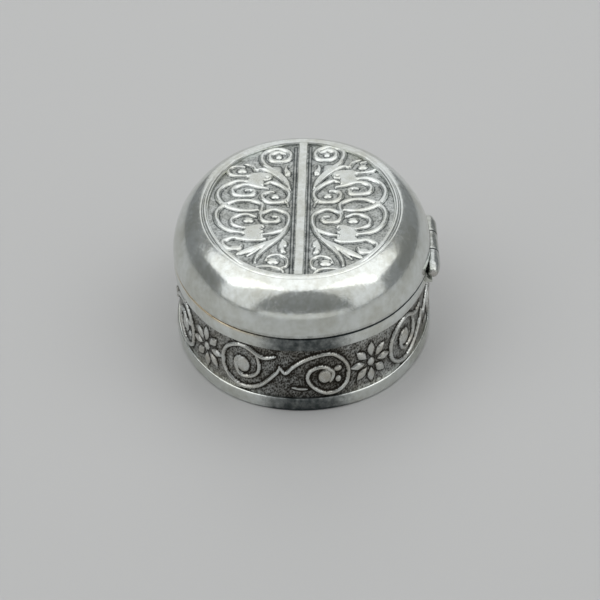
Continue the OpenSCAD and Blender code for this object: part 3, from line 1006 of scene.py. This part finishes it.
def build_bead(name, node, side):
    """A half-buried round wire outside a panel, thinned out where it dies into the shoulder."""
    inset = HALF_W - BEAD_OUT + BEAD_R
    start = END_R * math.radians(36)
    end = 2 * QUARTER - start
    s = np.linspace(start, end, 260)
    into = np.clip(np.minimum(s - start, end - s) / 4.0, 0, 1)
    radius = BEAD_R * np.sqrt(0.02 + 0.98 * (1 - (1 - into) ** 2))
    turn = np.linspace(0, 2 * math.pi, 20, endpoint=False)
    base, normal = on_oval(side * s)
    off = inset + radius[:, None] * np.cos(turn)
    flat = base[:, None, :] - normal[:, None, :] * off[..., None]
    level = BEAD_TOP - BEAD_R - 0.12 * (1 - into)
    z = level[:, None] + radius[:, None] * np.sin(turn)
    points = np.concatenate([flat, z[..., None]], -1).reshape(-1, 3)
    make(name, points, with_ends(len(s), len(turn)), "polished", "lid", node)


# ---------------------------------------------------------------- hinge
def lathe(name, section, material, body, node, count=64):
    """A section of (place along X, radius) pairs turned round the hinge axis."""
    angle = np.linspace(0, 2 * math.pi, count, endpoint=False)
    x, radius = np.array(section, float).T
    y = HINGE[1] + np.outer(np.cos(angle), radius)
    z = HINGE[2] + np.outer(np.sin(angle), radius)
    points = np.stack([np.tile(x, (count, 1)), y, z], -1)
    faces = grid_faces(count, len(x), close_rows=True, close_columns=True)
    return make(name, points.reshape(-1, 3), faces, material, body, node)


def broken_edge(x, inwards, bore):
    """Section of a knuckle's square end at x, from its bore out to its full radius."""
    edge = 0.07
    return [
        (x, bore), (x, KNUCKLE_R - edge), (x + 0.3 * edge * inwards, KNUCKLE_R - 0.3 * edge),
        (x + edge * inwards, KNUCKLE_R),
    ]


def build_lid_knuckle():
    """The middle knuckle, dark in the joints at its ends."""
    half = [(TOOTH_X - 1.0, KNUCKLE_R), *broken_edge(TOOTH_X, -1, LID_BORE)[::-1]]
    section = [*((-x, r) for x, r in half[::-1]), *half]
    piece = lathe("knuckle_lid", section, "polished", "lid", "lid_knuckle")
    set_value(piece, "oxide_and_painted_shade", lambda x, y, z: 0.4 + 0.5 * (np.abs(x) > TOOTH_X - 0.05))


def build_base_knuckle(name, node, side):
    """A base knuckle: square where it meets the lid's knuckle, filed thinner towards its outer end."""
    bore = PIN_R + SEATING
    last = BARREL_OUT - 0.12
    start = BARREL_OUT - KNUCKLE_TAPER
    section = broken_edge(BARREL_IN, 1, bore)
    for t in np.linspace(0, 1, 12):
        section.append((start + (last - start) * t, KNUCKLE_R - (KNUCKLE_R - KNUCKLE_END_R) * t * t))
    section += [
        (last + 0.06, KNUCKLE_END_R - 0.05), (last + 0.1, KNUCKLE_END_R - 0.1),
        (BARREL_OUT, KNUCKLE_END_R - 0.16), (BARREL_OUT, bore),
    ]
    piece = lathe(name, [(side * x, r) for x, r in section], "polished", "base", node)
    set_value(piece, "oxide_and_painted_shade", lambda x, y, z: 0.4 + 0.5 * (np.abs(x) < BARREL_IN + 0.05))


def build_pin():
    """The pin, with a low peened head on each end."""
    start = BARREL_OUT + SEATING
    rise = PIN_END - start
    dome = [(start + rise * math.sin(a), HEAD_R * math.cos(a)) for a in np.radians((20, 40, 55, 70, 80))]
    head = [(start, PIN_R), (start, HEAD_R), *dome, (PIN_END, 0)]
    lathe("pin", [*((-x, r) for x, r in head[::-1]), *head], "pin", "base", "hinge_pin", count=40)


# ---------------------------------------------------------------- camera, floor and light
def build_camera():
    """A long lens above the near end of the box, turned by a degree or so to frame it."""
    distance, elevation = 297.3 * MM, math.radians(36.8)
    camera = bpy.data.objects.new("camera", bpy.data.cameras.new("camera"))
    bpy.context.scene.collection.objects.link(camera)
    camera.data.sensor_width = 36.0
    camera.data.lens = 149.8
    camera.data.clip_start = 0.01
    place = Vector((distance * math.cos(elevation), 0, distance * math.sin(elevation)))
    look = (-place).to_track_quat("-Z", "Y").to_matrix().to_4x4()
    for degrees, axis in ((0.076, "Y"), (0.411, "X"), (-1.376, "Z")):
        look = look @ Matrix.Rotation(math.radians(degrees), 4, axis)
    camera.matrix_world = Matrix.Translation(place) @ look
    bpy.context.scene.camera = camera


def build_floor():
    """A plain pale floor, wide enough for any view."""
    half = 1.5
    corners = [(-half, -half, 0), (half, -half, 0), (half, half, 0), (-half, half, 0)]
    mesh = bpy.data.meshes.new("floor")
    mesh.from_pydata(corners, [], [(0, 1, 2, 3)])
    floor = bpy.data.objects.new("floor", mesh)
    bpy.context.scene.collection.objects.link(floor)
    material = bpy.data.materials.new("pale_floor")
    material.use_nodes = True
    shader = material.node_tree.nodes["Principled BSDF"]
    shader.inputs["Base Color"].default_value = (0.52, 0.52, 0.515, 1)
    shader.inputs["Roughness"].default_value = 0.45
    mesh.materials.append(material)


def softbox(name, place, aim, tall, wide, glow):
    """A rectangular area light with a given surface brightness. Its wide side is level."""
    light = bpy.data.lights.new(name, "AREA")
    light.shape = "RECTANGLE"
    light.size, light.size_y = wide, tall
    light.energy = glow * math.pi * tall * wide
    lamp = bpy.data.objects.new(name, light)
    bpy.context.scene.collection.objects.link(lamp)
    back = (Vector(place) - Vector(aim)).normalized()
    overhead = abs(back.z) > 0.99
    level = Vector((0, 1, 0)) if overhead else Vector((0, 0, 1)).cross(back).normalized()
    turn = Matrix((level, back.cross(level), back)).transposed().to_4x4()
    lamp.matrix_world = Matrix.Translation(Vector(place)) @ turn


def build_light():
    """A soft top light that reaches behind the box, two side panels, and a dim opening round the camera."""
    softbox("top", (-0.10, 0.0, 0.45), (-0.10, 0, 0), 0.52, 1.5, 1.02)
    softbox("behind", (-0.62, 0.0, 0.29), (0, 0, 0), 0.62, 0.48, 0.62)
    softbox("left", (0.19, -0.38, 0.34), (0, 0, 0.02), 0.74, 0.38, 0.6)
    softbox("right", (0.19, 0.38, 0.34), (0, 0, 0.02), 0.74, 0.38, 0.54)
    softbox("low_front", (0.7, 0.0, 0.07), (0, 0, 0.02), 0.14, 1.2, 0.5)
    world = bpy.data.worlds.new("studio")
    bpy.context.scene.world = world
    world.use_nodes = True
    tree = world.node_tree
    direction = add(tree, "ShaderNodeTexCoord").outputs["Generated"]
    height = add(tree, "ShaderNodeSeparateXYZ", None, Vector=direction).outputs[2]
    glow = mix(tree, ramp(tree, height, 0.0, 0.9), (0.23, 0.24, 0.245), (0.27, 0.28, 0.285))
    tree.links.new(glow, tree.nodes["Background"].inputs["Color"])
    tree.nodes["Background"].inputs["Strength"].default_value = 1.0
    bpy.context.scene.view_settings.view_transform = "Standard"


def dress_bearers():
    """The two wedges under the barrel keep their CAD shape and take the polished silver."""
    bearers = frame["nodes"]["base_bearers"]
    bearers.data.materials.clear()
    bearers.data.materials.append(MATERIALS["polished"])


build_camera()
build_floor()
build_light()

build_base_plate()
build_foot()
build_frieze()
build_top_rim()
build_cup()
build_bezel()
build_lid_rim()
build_dome()
build_lining()
build_panel("scroll_panel_opening_side", "panel_front", -1)
build_panel("scroll_panel_hinge_side", "panel_back", 1)
build_band()
build_bead("bead_opening_side", "bead_front", -1)
build_bead("bead_hinge_side", "bead_back", 1)
build_base_knuckle("knuckle_far", "base_knuckle_left", -1)
build_base_knuckle("knuckle_near", "base_knuckle_right", 1)
build_lid_knuckle()
build_pin()
dress_bearers()
